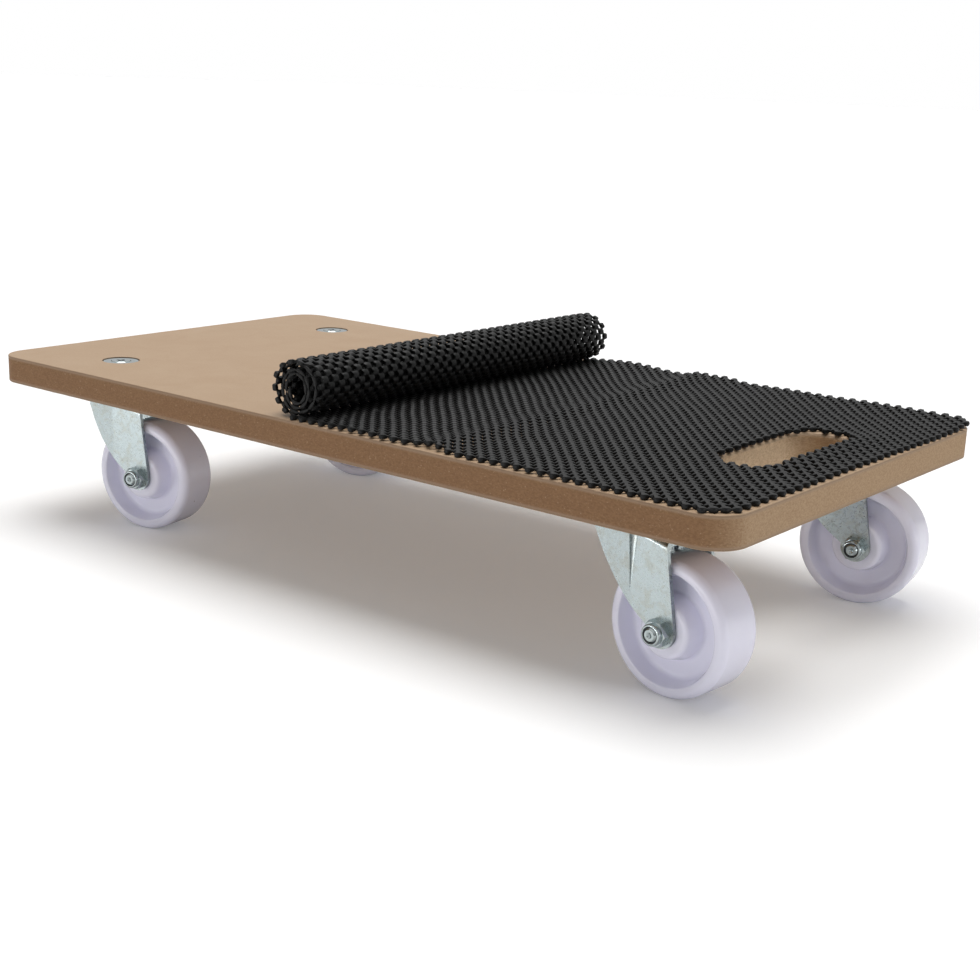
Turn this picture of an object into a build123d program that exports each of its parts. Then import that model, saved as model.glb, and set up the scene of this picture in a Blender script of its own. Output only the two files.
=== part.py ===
from build123d import *

import os
from math import acos, atan, atan2, cos, degrees, floor, hypot, pi, radians, sin, sqrt, tan

# A small furniture dolly: an MDF deck with a hand slot, on four swivel casters, and a loose
# open-mesh grip mat that lies flat over the slot end and is rolled up from the other end.
# Millimetres, +Z up. The origin is on the floor under the middle of the deck, and +X points
# to the slot end. A caster is drawn with its pivot on the Z axis and its wheel trailing
# towards +X. It is then turned and moved to its place under the deck.

# Deck
DECK_LENGTH = 580.0
DECK_WIDTH = 300.0
DECK_THICKNESS = 18.0
DECK_CORNER_RADIUS = 20.0
DECK_EDGE_RADIUS = 0.6
SLOT_LENGTH = 110.0
SLOT_WIDTH = 41.0
SLOT_CORNER_RADIUS = 18.0
SLOT_EDGE_RADIUS = 3.0
SLOT_FROM_END = 29.0

# Where the casters sit: (end, side, how far the wheel stands turned about +Z)
PIVOT_FROM_END = 75.0
PIVOT_FROM_SIDE = 47.5
CASTERS = {
    "front_left": (1, 1, 9.8),
    "front_right": (1, -1, -5.2),
    "rear_left": (-1, 1, 18.8),
    "rear_right": (-1, -1, 11.6),
}

# King bolt, which holds a caster to the deck, with its washer and nut
KING_BOLT_DIAMETER = 8.0
KING_HEAD_DIAMETER = 13.0
KING_HEAD_HEIGHT = 1.9
KING_HEAD_SUNK = 0.05
KING_HEAD_CHAMFER = 0.4
CROSS_LENGTH = 7.0
CROSS_WIDTH = 1.4
CROSS_DEPTH = 1.2
KING_WASHER_DIAMETER = 24.0
KING_WASHER_THICKNESS = 2.2
KING_WASHER_SEAT = 1.55
KING_WASHER_EDGE = 0.4
KING_NUT_ACROSS = 13.0
KING_NUT_HEIGHT = 8.0
KING_BOLT_PAST_NUT = 1.0

# Swivel bearing: a race above and below the fork's crown, and a ring of balls in each
TOP_RACE_DIAMETER = 37.0
TOP_RACE_THICKNESS = 2.5
LOWER_RACE_DIAMETER = 27.0
LOWER_RACE_THICKNESS = 2.5
RACE_EDGE_RADIUS = 0.8
NECK_DIAMETER = 12.0
UPPER_BALL_DIAMETER = 5.0
UPPER_RING_DIAMETER = 26.0
UPPER_BALL_SEAT = 1.2
LOWER_BALL_DIAMETER = 4.0
LOWER_RING_DIAMETER = 19.0
LOWER_BALL_SEAT = 1.0
BALL_SPACING = 0.6

# Fork, pressed from one sheet; the front pair has a longer reach and a dart in each bend
FORK_SHEET = 2.5
FORK_TRAIL = 28.0
FORK_HEADROOM = 11.4
FRONT_FORK_REACH = 20.5
REAR_FORK_REACH = 13.4
FRONT_FORK_REAR = 29.0
REAR_FORK_REAR = 31.0
CROWN_SLOPE_START = 12.0
CROWN_SLOPE_LENGTH = 19.0
CROWN_DROP = 4.4
CROWN_BEND_RADIUS = 20.0
TOE_START = 8.0
TOE_ANGLE = 6.0
TOE_BEND_RADIUS = 4.0
LEG_BEND_RADIUS = 1.0
LEG_END_RADIUS = 9.0
LEG_SKIRT = 6.4
LEG_STEP_X = 1.2
LEG_STEP_Z = 2.0
FRONT_LEG_BOW = 3.6
REAR_LEG_BOW = 4.4
LEG_EDGE_MEETS = 170.0
DART_X = 7.6
DART_TIP_RADIUS = 0.3
DART_RADIUS = 3.2
DART_LENGTH = 33.0

# Axle: a hex bolt through a sleeve, with a lock nut
AXLE_DIAMETER = 8.0
AXLE_HEAD_ACROSS = 13.0
AXLE_HEAD_HEIGHT = 5.3
AXLE_NUT_ACROSS = 13.0
AXLE_NUT_HEX = 5.5
AXLE_NUT_COLLAR = 2.5
AXLE_COLLAR_DIAMETER = 11.8
AXLE_COLLAR_RADIUS = 1.0
AXLE_PAST_NUT = 0.5
AXLE_END_CHAMFER = 1.0
AXLE_DIMPLE_DIAMETER = 3.4
AXLE_DIMPLE_DEPTH = 1.2
INSERT_DIAMETER = 9.2
INSERT_HEIGHT = 2.0
INSERT_SUNK = 0.3
SLEEVE_DIAMETER = 12.0

# Wheel, moulded in one piece
WHEEL_DIAMETER = 75.0
WHEEL_WIDTH = 30.0
WHEEL_EDGE_RADIUS = 4.5
RIM_WALL = 6.5
RIM_DRAFT = 3.0
RIM_MOUTH_RADIUS = 1.0
RIM_FLOOR_RADIUS = 3.0
WEB_THICKNESS = 10.0
HUB_ROOT_DIAMETER = 36.0
HUB_END_DIAMETER = 30.0
HUB_ROOT_RADIUS = 2.0
HUB_END_RADIUS = 3.0

# Grip mat: a flat stretch with one low ridge across it, then a loose roll
MAT_THICKNESS = 2.5
MAT_FROM_END = 3.0
MAT_FROM_SIDE = 3.0
MAT_SLOT_MARGIN = 1.0
NET_PITCH = 24.0
NET_STRAND = 7.0
NET_BORDER = 4.0
RIDGE_X = 97.0
RIDGE_LENGTH = 34.0
RIDGE_HEIGHT = 4.0
ROLL_X = -1.5
ROLL_HEIGHT = 35.0
ROLL_GAPS = (0.5, 5.0, 0.5, 0.5, 0.5, 0.5)

# Clearances, on the radius for round fits
RECESS_CLEARANCE = 0.5
HEAD_CLEARANCE = 0.3
HOLE_CLEARANCE = 0.2
THREAD_CLEARANCE = 0.05
BALL_CLEARANCE = 0.1
NECK_CLEARANCE = 0.3
SPIN_CLEARANCE = 0.08
HUB_CLEARANCE = 0.4
LEG_CLEARANCE = 2.0

# Heights that follow, from the floor up to the deck
AXLE_Z = WHEEL_DIAMETER / 2
CROWN_UNDER = WHEEL_DIAMETER + FORK_HEADROOM
CROWN_TOP = CROWN_UNDER + FORK_SHEET
TOP_RACE_UNDER = CROWN_TOP + UPPER_BALL_DIAMETER - 2 * UPPER_BALL_SEAT
DECK_UNDER = TOP_RACE_UNDER + TOP_RACE_THICKNESS
DECK_TOP = DECK_UNDER + DECK_THICKNESS
LOWER_RACE_TOP = CROWN_UNDER - LOWER_BALL_DIAMETER + 2 * LOWER_BALL_SEAT
LOWER_RACE_UNDER = LOWER_RACE_TOP - LOWER_RACE_THICKNESS
UPPER_BALL_Z = (CROWN_TOP + TOP_RACE_UNDER) / 2
LOWER_BALL_Z = (CROWN_UNDER + LOWER_RACE_TOP) / 2
KING_HEAD_TOP = DECK_TOP - KING_HEAD_SUNK
WASHER_TOP = KING_HEAD_TOP - KING_HEAD_HEIGHT + KING_WASHER_SEAT
RECESS_FLOOR = WASHER_TOP - KING_WASHER_THICKNESS

# Places and widths that follow
PIVOT_X = DECK_LENGTH / 2 - PIVOT_FROM_END
PIVOT_Y = DECK_WIDTH / 2 - PIVOT_FROM_SIDE
SLOT_X = DECK_LENGTH / 2 - SLOT_FROM_END - SLOT_WIDTH / 2
LEG_INSIDE = WHEEL_WIDTH / 2 + LEG_CLEARANCE
LEG_OUTSIDE = LEG_INSIDE + FORK_SHEET
MAT_END = DECK_LENGTH / 2 - MAT_FROM_END
MAT_HALF_WIDTH = DECK_WIDTH / 2 - MAT_FROM_SIDE
MAT_MIDDLE_Z = DECK_TOP + MAT_THICKNESS / 2


def rod(diameter, low, high):
    """Upright round bar on the Z axis between two heights."""
    return Pos(0, 0, low) * extrude(Circle(diameter / 2), high - low)


def hex_bar(across, height):
    """Hexagon on the XY plane, its far corners turned down at 30 degrees."""
    flat = across / 2
    corner_cone = Cone(flat + height * sqrt(3), flat, height, align=(Align.CENTER,) * 2 + (Align.MIN,))
    return extrude(RegularPolygon(flat, 6, major_radius=False), height) & corner_cone


def across_fork(shape):
    """Turns a shape drawn up the Z axis to lie along the axle, its top towards +Y."""
    return Pos(FORK_TRAIL, 0, AXLE_Z) * Rot(-90, 0, 0) * shape


def at_pivot(end, side):
    return Pos(end * PIVOT_X, side * PIVOT_Y, 0)


def deck_board():
    outline = RectangleRounded(DECK_LENGTH, DECK_WIDTH, DECK_CORNER_RADIUS)
    slot = Pos(SLOT_X, 0) * RectangleRounded(SLOT_WIDTH, SLOT_LENGTH, SLOT_CORNER_RADIUS)
    board = Pos(0, 0, DECK_UNDER) * extrude(outline - slot, DECK_THICKNESS)
    under, top = board.faces().filter_by(Axis.Z).sort_by(Axis.Z)
    board = fillet(top.inner_wires()[0].edges(), SLOT_EDGE_RADIUS)
    under, top = board.faces().filter_by(Axis.Z).sort_by(Axis.Z)
    board = fillet(under.edges() + top.outer_wire().edges(), DECK_EDGE_RADIUS)
    bolt_hole = rod(KING_BOLT_DIAMETER + 2 * HOLE_CLEARANCE, DECK_UNDER, DECK_TOP)
    recess = rod(KING_WASHER_DIAMETER + 2 * RECESS_CLEARANCE, RECESS_FLOOR, DECK_TOP)
    return board - [at_pivot(end, side) * (bolt_hole + recess) for end, side, _ in CASTERS.values()]


def king_bolt():
    low = LOWER_RACE_UNDER - KING_NUT_HEIGHT - KING_BOLT_PAST_NUT
    seat = KING_HEAD_TOP - KING_HEAD_HEIGHT
    head = rod(KING_HEAD_DIAMETER, seat, KING_HEAD_TOP)
    head = chamfer(head.edges().group_by(Axis.Z)[-1], KING_HEAD_CHAMFER)
    slit = Box(CROSS_LENGTH, CROSS_WIDTH, 2 * CROSS_DEPTH)
    cross = Pos(0, 0, KING_HEAD_TOP) * (slit + Rot(0, 0, 90) * slit)
    return head + rod(KING_BOLT_DIAMETER, low, seat) - cross


def king_washer():
    seat = WASHER_TOP - KING_WASHER_SEAT
    disc = rod(KING_WASHER_DIAMETER, RECESS_FLOOR, WASHER_TOP)
    disc = fillet(disc.edges().group_by(Axis.Z)[-1], KING_WASHER_EDGE)
    head_seat = rod(KING_HEAD_DIAMETER + 2 * HEAD_CLEARANCE, seat, WASHER_TOP)
    return disc - head_seat - rod(KING_BOLT_DIAMETER + 2 * HOLE_CLEARANCE, RECESS_FLOOR, seat)


def king_nut():
    low = LOWER_RACE_UNDER - KING_NUT_HEIGHT
    blank = Pos(0, 0, LOWER_RACE_UNDER) * Rot(180, 0, 0) * hex_bar(KING_NUT_ACROSS, KING_NUT_HEIGHT)
    return blank - rod(KING_BOLT_DIAMETER + 2 * THREAD_CLEARANCE, low, LOWER_RACE_UNDER)


def ball_track(ring_diameter, ball_diameter, z):
    """Ring that cuts the groove in which a ring of balls runs."""
    return Pos(0, 0, z) * Torus(ring_diameter / 2, ball_diameter / 2 + BALL_CLEARANCE)


def ball_ring(ring_diameter, ball_diameter, z):
    count = floor(pi * ring_diameter / (ball_diameter + BALL_SPACING))
    ball = Pos(ring_diameter / 2, 0, z) * Sphere(ball_diameter / 2)
    return Compound(children=[Rot(0, 0, 360 * i / count) * ball for i in range(count)])


def top_race():
    disc = rod(TOP_RACE_DIAMETER, TOP_RACE_UNDER, DECK_UNDER)
    disc = fillet(disc.edges().group_by(Axis.Z)[0], RACE_EDGE_RADIUS)
    bore = rod(KING_BOLT_DIAMETER + 2 * HOLE_CLEARANCE, TOP_RACE_UNDER, DECK_UNDER)
    return disc - bore - ball_track(UPPER_RING_DIAMETER, UPPER_BALL_DIAMETER, UPPER_BALL_Z)


def lower_race():
    disc = rod(LOWER_RACE_DIAMETER, LOWER_RACE_UNDER, LOWER_RACE_TOP)
    disc = fillet(disc.edges().group_by(Axis.Z)[0], RACE_EDGE_RADIUS)
    neck = rod(NECK_DIAMETER, LOWER_RACE_TOP, TOP_RACE_UNDER)
    bore = rod(KING_BOLT_DIAMETER + 2 * HOLE_CLEARANCE, LOWER_RACE_UNDER, TOP_RACE_UNDER)
    return disc + neck - bore - ball_track(LOWER_RING_DIAMETER, LOWER_BALL_DIAMETER, LOWER_BALL_Z)


def leg_line(inward, tip_x):
    """Plan line of the +Y leg, some way in from its outer face: tail, bend, toed-in tip."""
    toe = radians(TOE_ANGLE)
    bend_x = TOE_START + inward * tan(toe / 2)
    side = LEG_OUTSIDE - inward
    tail = (FORK_TRAIL + LEG_END_RADIUS + inward, side)
    tip = (tip_x, side - (bend_x - tip_x) * tan(toe))
    return FilletPolyline(tail, (bend_x, side), tip, radius=TOE_BEND_RADIUS + FORK_SHEET - inward)


def fork_block(inward, tip_x):
    """Solid under the crown between the legs, some way in from the sheet's outer face."""
    left = leg_line(inward, tip_x)
    right = mirror(left, about=Plane.XZ)
    nose = ThreePointArc(left @ 1, (-(left @ 1).length, 0), right @ 1)
    plan = make_face([left, nose, right, Line(right @ 0, left @ 0)])
    front, rear, top = (nose @ 0.5).X, (left @ 0).X + FORK_SHEET, CROWN_TOP - inward
    drop = CROWN_DROP * (rear - CROWN_SLOPE_START) / CROWN_SLOPE_LENGTH
    line = FilletPolyline((front, top), (CROWN_SLOPE_START, top), (rear, top - drop),
                          radius=CROWN_BEND_RADIUS - inward)
    below = make_face([line, Polyline(line @ 1, (rear, 0), (front, 0), line @ 0)])
    block = extrude(plan, DECK_UNDER) & extrude(Plane.XZ * below, LEG_OUTSIDE, both=True)
    top_edges = block.faces().filter_by(lambda face: face.normal_at().Z > 0.9).edges()
    side_edges = block.faces().filter_by(lambda face: abs(face.normal_at().Y) > 0.9).edges()
    bends = [edge for edge in side_edges if edge in top_edges]
    return fillet(bends, LEG_BEND_RADIUS + FORK_SHEET - inward)


def fork_side_view(reach, rear, bow):
    """Outline of crown and leg: nose, skirt, bowed leading edge, round end, trailing edge."""
    nose = -hypot(reach, LEG_OUTSIDE)
    skirt = (-reach, CROWN_TOP - LEG_SKIRT)
    step = (skirt[0] + LEG_STEP_X, skirt[1] - LEG_STEP_Z)
    centre = Vector(FORK_TRAIL, AXLE_Z)
    meets = centre + Vector(LEG_END_RADIUS, 0).rotate(Axis.Z, LEG_EDGE_MEETS)
    rear_top = Vector(rear, CROWN_TOP - CROWN_DROP)
    to_top = rear_top - centre
    turn = degrees(atan2(to_top.Y, to_top.X) - acos(LEG_END_RADIUS / to_top.length))
    leaves = centre + Vector(LEG_END_RADIUS, 0).rotate(Axis.Z, turn)
    corners = [leaves, rear_top, (rear, DECK_UNDER), (nose, DECK_UNDER), (nose, CROWN_UNDER)]
    return make_face([
        Polyline(*corners, (-reach, CROWN_UNDER), skirt, step),
        SagittaArc(meets, step, bow),
        ThreePointArc(meets, centre - Vector(0, LEG_END_RADIUS), leaves),
    ])


def darts(face_y):
    """Cones that dent both bends inwards: each stands on its blunt tip, its axis up a leg's face."""
    cone = Cone(DART_TIP_RADIUS, DART_RADIUS, DART_LENGTH, align=(Align.CENTER,) * 2 + (Align.MIN,))
    point_z = CROWN_TOP - FORK_SHEET / 2 - DART_LENGTH
    return [Pos(DART_X, side * face_y, point_z) * cone for side in (1, -1)]


def fork(reach, rear, bow, darted):
    """Crown and two legs; reach and rear are how far it goes ahead of and behind the pivot."""
    shell = fork_block(0, -reach) - fork_block(FORK_SHEET, -2 * reach)
    body = shell & extrude(Plane.XZ * fork_side_view(reach, rear, bow), LEG_OUTSIDE, both=True)
    if darted:
        body = body + darts(LEG_INSIDE) - darts(LEG_OUTSIDE)
    length = 2 * LEG_OUTSIDE
    axle_hole = Pos(0, 0, -length / 2) * rod(AXLE_DIAMETER + 2 * HOLE_CLEARANCE, 0, length)
    body -= across_fork(axle_hole)
    body -= rod(NECK_DIAMETER + 2 * NECK_CLEARANCE, CROWN_UNDER, CROWN_TOP)
    body -= ball_track(UPPER_RING_DIAMETER, UPPER_BALL_DIAMETER, UPPER_BALL_Z)
    return body - ball_track(LOWER_RING_DIAMETER, LOWER_BALL_DIAMETER, LOWER_BALL_Z)


def axle_bolt():
    """Head against the +Y leg, end just past the nut on the other side."""
    end = -LEG_OUTSIDE - AXLE_NUT_HEX - AXLE_NUT_COLLAR - AXLE_PAST_NUT
    shank = rod(AXLE_DIAMETER, end, LEG_OUTSIDE)
    shank = chamfer(shank.edges().group_by(Axis.Z)[0], AXLE_END_CHAMFER)
    dimple = Cone(AXLE_DIMPLE_DIAMETER / 2, 0, AXLE_DIMPLE_DEPTH, align=(Align.CENTER,) * 2 + (Align.MIN,))
    shank -= Pos(0, 0, end) * dimple
    return across_fork(shank + Pos(0, 0, LEG_OUTSIDE) * hex_bar(AXLE_HEAD_ACROSS, AXLE_HEAD_HEIGHT))


def axle_sleeve():
    tube = rod(SLEEVE_DIAMETER, -LEG_INSIDE, LEG_INSIDE)
    return across_fork(tube - rod(AXLE_DIAMETER + 2 * THREAD_CLEARANCE, -LEG_INSIDE, LEG_INSIDE))


def axle_nut():
    """Hexagon against the -Y leg, with a round collar that holds the insert."""
    height = AXLE_NUT_HEX + AXLE_NUT_COLLAR
    collar = rod(AXLE_COLLAR_DIAMETER, AXLE_NUT_HEX, height)
    collar = fillet(collar.edges().group_by(Axis.Z)[-1], AXLE_COLLAR_RADIUS)
    blank = hex_bar(AXLE_NUT_ACROSS, AXLE_NUT_HEX) + collar
    pocket = rod(INSERT_DIAMETER + 2 * THREAD_CLEARANCE, height - INSERT_SUNK - INSERT_HEIGHT, height)
    blank = blank - pocket - rod(AXLE_DIAMETER + 2 * THREAD_CLEARANCE, 0, height)
    return across_fork(Pos(0, 0, -LEG_OUTSIDE) * Rot(180, 0, 0) * blank)


def nut_insert():
    top = -LEG_OUTSIDE - AXLE_NUT_HEX - AXLE_NUT_COLLAR + INSERT_SUNK
    ring = rod(INSERT_DIAMETER, top, top + INSERT_HEIGHT)
    return across_fork(ring - rod(AXLE_DIAMETER + 2 * THREAD_CLEARANCE, top, top + INSERT_HEIGHT))


def wheel():
    """Half section, from the bore out over the hub, web and rim to the middle of the tread."""
    hub_end = LEG_INSIDE - HUB_CLEARANCE
    half = WHEEL_WIDTH / 2
    web = WEB_THICKNESS / 2
    bore = SLEEVE_DIAMETER / 2 + SPIN_CLEARANCE
    mouth = WHEEL_DIAMETER / 2 - RIM_WALL
    corners = [
        (bore, 0),
        (bore, hub_end),
        (HUB_END_DIAMETER / 2, hub_end),
        (HUB_ROOT_DIAMETER / 2, web),
        (mouth - RIM_DRAFT, web),
        (mouth, half),
        (WHEEL_DIAMETER / 2, half),
        (WHEEL_DIAMETER / 2, 0),
    ]
    rounds = [0, HUB_END_RADIUS, HUB_ROOT_RADIUS, RIM_FLOOR_RADIUS, RIM_MOUTH_RADIUS, WHEEL_EDGE_RADIUS]
    line = FilletPolyline(*corners, radius=rounds)
    section = make_face([line, Line(line @ 1, line @ 0)])
    half_wheel = revolve(Plane.XZ * section, Axis.Z)
    return across_fork(half_wheel + mirror(half_wheel, about=Plane.XY))


def sheet_face(arcs, lead_in, lead_out):
    """Side view of a sheet that follows tangent arcs, each (x, z, radius, start, sweep), with
    straight stretches of the given lengths before the first and after the last."""
    half = MAT_THICKNESS / 2
    edges = []
    ends = []
    for side in (half, -half):
        run = [CenterArc((x, z), r - (side if sweep > 0 else -side), start, sweep)
               for x, z, r, start, sweep in arcs]
        first, last = run[0] @ 0, run[-1] @ 1
        if lead_in:
            run.append(Line(first - Vector(lead_in, 0), first))
            first = run[-1] @ 0
        if lead_out:
            run.append(Line(last, last + Vector(lead_out, 0)))
            last = run[-1] @ 1
        edges += run
        ends.append((first, last))
    caps = [Line(a, b) for a, b in zip(*ends)]
    return make_face(edges + caps)


def ridge_arcs():
    """The low ridge: up through one arc, over the crest and down through another."""
    bend = 2 * degrees(atan(2 * RIDGE_HEIGHT / RIDGE_LENGTH))
    radius = RIDGE_LENGTH / 4 / sin(radians(bend))
    foot = MAT_MIDDLE_Z + radius
    return [
        (RIDGE_X - RIDGE_LENGTH / 2, foot, radius, 270, bend),
        (RIDGE_X, MAT_MIDDLE_Z + RIDGE_HEIGHT - radius, radius, 90 + bend, -2 * bend),
        (RIDGE_X + RIDGE_LENGTH / 2, foot, radius, 270 - bend, bend),
    ]


def grip_mat():
    corner = DECK_CORNER_RADIUS - MAT_FROM_SIDE
    length = MAT_END - ROLL_X
    blank = Rectangle(length, 2 * MAT_HALF_WIDTH)
    blank = Pos((MAT_END + ROLL_X) / 2, 0) * fillet(blank.vertices().group_by(Axis.X)[-1], corner)
    slot_x = SLOT_WIDTH / 2 + MAT_SLOT_MARGIN
    slot_y = SLOT_LENGTH / 2 + MAT_SLOT_MARGIN
    slot_corner = SLOT_CORNER_RADIUS + MAT_SLOT_MARGIN
    slot = Pos(SLOT_X, 0) * RectangleRounded(2 * slot_x, 2 * slot_y, slot_corner)
    reach = NET_PITCH / 2 - NET_STRAND / sqrt(2)
    gap = Polygon((reach, 0), (0, reach), (-reach, 0), (0, -reach))
    inset = NET_BORDER + reach
    rows = floor((length - 2 * inset) / NET_PITCH)
    columns = floor((MAT_HALF_WIDTH - inset) / NET_PITCH * 2)
    row_0 = ROLL_X + (length - rows * NET_PITCH) / 2

    def inside(x, y):
        past_x, past_y = x - MAT_END + corner, y - MAT_HALF_WIDTH + corner
        return hypot(max(past_x, 0), max(past_y, 0)) < corner - NET_BORDER

    holes = [slot.face().outer_wire()]
    for i in range(2 * rows + 1):
        for j in range(-columns, columns + 1):
            x, y = row_0 + i * NET_PITCH / 2, j * NET_PITCH / 2
            to_slot = max(abs(x - SLOT_X) - slot_x, 0) + max(abs(y) - slot_y, 0)
            fits = inside(x + reach, abs(y)) and inside(x, abs(y) + reach)
            if (i + j) % 2 == 0 and to_slot > inset and fits:
                holes.append((Pos(x, y) * gap).face().outer_wire())
    net = extrude(Face(blank.face().outer_wire(), holes), DECK_TOP + ROLL_HEIGHT)
    arcs = ridge_arcs()
    rise = sheet_face(arcs, arcs[0][0] - ROLL_X, MAT_END - arcs[-1][0])
    return net & extrude(Plane.XZ * rise, MAT_HALF_WIDTH, both=True)


def roll_arcs():
    """Half turns that wind up, over and inwards; each next one passes a set gap inside the last."""
    radius = (ROLL_HEIGHT - MAT_THICKNESS) / 2
    z = MAT_MIDDLE_Z + radius
    rising = True
    arcs = [(ROLL_X, z, radius, 270, -180)]
    for gap in ROLL_GAPS:
        step = (MAT_THICKNESS + gap) / 2
        z += step if rising else -step
        radius -= step
        rising = not rising
        arcs.append((ROLL_X, z, radius, 270 if rising else 90, -180))
    return arcs


def grip_mat_roll():
    return extrude(Plane.XZ * sheet_face(roll_arcs(), 0, 0), MAT_HALF_WIDTH, both=True)


def least_roll_gap():
    """Least clear distance between two layers of the mat, on points 1 mm or less apart."""
    points = [(-run, ROLL_X + run, MAT_MIDDLE_Z) for run in range(floor(ROLL_HEIGHT), -1, -1)]
    done = 0
    for x, z, radius, start, sweep in roll_arcs():
        steps = floor(pi * radius) + 1
        for i in range(1, steps + 1):
            angle = radians(start + sweep * i / steps)
            run = done + pi * radius * i / steps
            points.append((run, x + radius * cos(angle), z + radius * sin(angle)))
        done += pi * radius
    layers = [(a, b) for a in points for b in points if b[0] - a[0] > ROLL_HEIGHT / 2]
    return min(hypot(a[1] - b[1], a[2] - b[2]) for a, b in layers) - MAT_THICKNESS


def placed(shape, end, side, turn):
    return at_pivot(end, side) * Rot(0, 0, turn) * shape


caster_pieces = {
    "top_race": top_race(),
    "lower_race": lower_race(),
    "upper_balls": ball_ring(UPPER_RING_DIAMETER, UPPER_BALL_DIAMETER, UPPER_BALL_Z),
    "lower_balls": ball_ring(LOWER_RING_DIAMETER, LOWER_BALL_DIAMETER, LOWER_BALL_Z),
    "axle_bolt": axle_bolt(),
    "axle_sleeve": axle_sleeve(),
    "axle_nut": axle_nut(),
    "nut_insert": nut_insert(),
    "wheel": wheel(),
}
forks = {
    "front": fork(FRONT_FORK_REACH, FRONT_FORK_REAR, FRONT_LEG_BOW, True),
    "rear": fork(REAR_FORK_REACH, REAR_FORK_REAR, REAR_LEG_BOW, False),
}
king_pieces = {"king_bolts": king_bolt(), "king_washers": king_washer(), "king_nuts": king_nut()}

nodes = {"deck_board": deck_board(), "grip_mat": grip_mat(), "grip_mat_roll": grip_mat_roll()}
for kind, shape in king_pieces.items():
    nodes[kind] = Compound(children=[placed(shape, *place) for place in CASTERS.values()])
for corner, place in CASTERS.items():
    nodes[f"fork_{corner}"] = placed(forks[corner.split("_")[0]], *place)
    for kind, shape in caster_pieces.items():
        nodes[f"{kind}_{corner}"] = placed(shape, *place)

print(f"grip mat roll: least gap between layers {least_roll_gap():.2f} mm")
os.makedirs("parts", exist_ok=True)
for name, shape in nodes.items():
    export_step(shape, f"parts/{name}.step")
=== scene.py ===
import math

import bmesh
import bpy
import numpy as np
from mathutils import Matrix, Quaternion, Vector


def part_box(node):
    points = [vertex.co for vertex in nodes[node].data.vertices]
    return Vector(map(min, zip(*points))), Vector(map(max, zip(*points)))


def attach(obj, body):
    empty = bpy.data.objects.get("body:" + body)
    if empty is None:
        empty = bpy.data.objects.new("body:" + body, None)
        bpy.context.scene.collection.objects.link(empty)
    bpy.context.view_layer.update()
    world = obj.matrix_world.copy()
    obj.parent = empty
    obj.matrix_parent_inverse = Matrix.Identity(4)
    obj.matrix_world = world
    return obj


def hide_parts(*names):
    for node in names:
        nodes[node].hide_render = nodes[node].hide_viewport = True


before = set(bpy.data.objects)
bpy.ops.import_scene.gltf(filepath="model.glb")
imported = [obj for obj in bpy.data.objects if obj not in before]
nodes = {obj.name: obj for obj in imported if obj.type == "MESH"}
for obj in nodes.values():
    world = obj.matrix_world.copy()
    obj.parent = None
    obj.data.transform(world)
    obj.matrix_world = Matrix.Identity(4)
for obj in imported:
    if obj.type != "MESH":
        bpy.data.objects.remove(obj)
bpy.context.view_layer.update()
corners = ("front_left", "front_right", "rear_left", "rear_right")
MM = 0.001


# Deck board: an 18 mm sheet of MDF, sawn to size, its corners rounded and its edges eased.
# The sanded faces are pale and smooth; the sawn sides are browner and show the pressed fibre. The long sides
# are painted darker than the ends as shade, and the slot's walls are painted paler as light, its end walls
# darker again as shade.

DECK_LOW, DECK_TOP = (corner.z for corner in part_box("deck_board"))

# The hand slot, routed right through the board
SLOT_LOW, SLOT_HIGH = 220 * MM, 261 * MM
SLOT_LENGTH = 110 * MM
SLOT_CORNER = 18 * MM

# Cut faces that lie nearer the board's middle than this are the slot's walls
INNER_X, INNER_Y = 275 * MM, 70 * MM

# The dense skin and the line along each eased edge, measured from the board's mid-height
SKIN_START, SKIN_FULL = 6.2 * MM, 7.8 * MM
EDGE_LINE, EDGE_LINE_HALF = 8.2 * MM, 0.22 * MM


def linear(colour):
    """An sRGB hex colour as the linear RGBA that shaders take."""
    parts = [int(colour[i:i + 2], 16) / 255 for i in (1, 3, 5)]
    return [c / 12.92 if c < 0.04045 else ((c + 0.055) / 1.055) ** 2.4 for c in parts] + [1.0]


def add(tree, kind, settings={}, inputs={}):
    """One node with its settings; an input is a value or another node's output."""
    made = tree.nodes.new(kind)
    for name, value in settings.items():
        setattr(made, name, value)
    for name, value in inputs.items():
        if isinstance(value, bpy.types.NodeSocket):
            tree.links.new(value, made.inputs[name])
        else:
            made.inputs[name].default_value = value
    return made


def new_material(name):
    """An empty Principled material: the material, its tree, its shader and Object coordinates."""
    material = bpy.data.materials.new(name)
    material.use_nodes = True
    tree = material.node_tree
    shader = tree.nodes["Principled BSDF"]
    coords = add(tree, "ShaderNodeTexCoord")
    return material, tree, shader, coords


def dress(material, *names):
    """Gives CAD nodes a finish."""
    for name in names:
        mesh = nodes[name].data
        mesh.materials.clear()
        mesh.materials.append(material)


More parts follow.
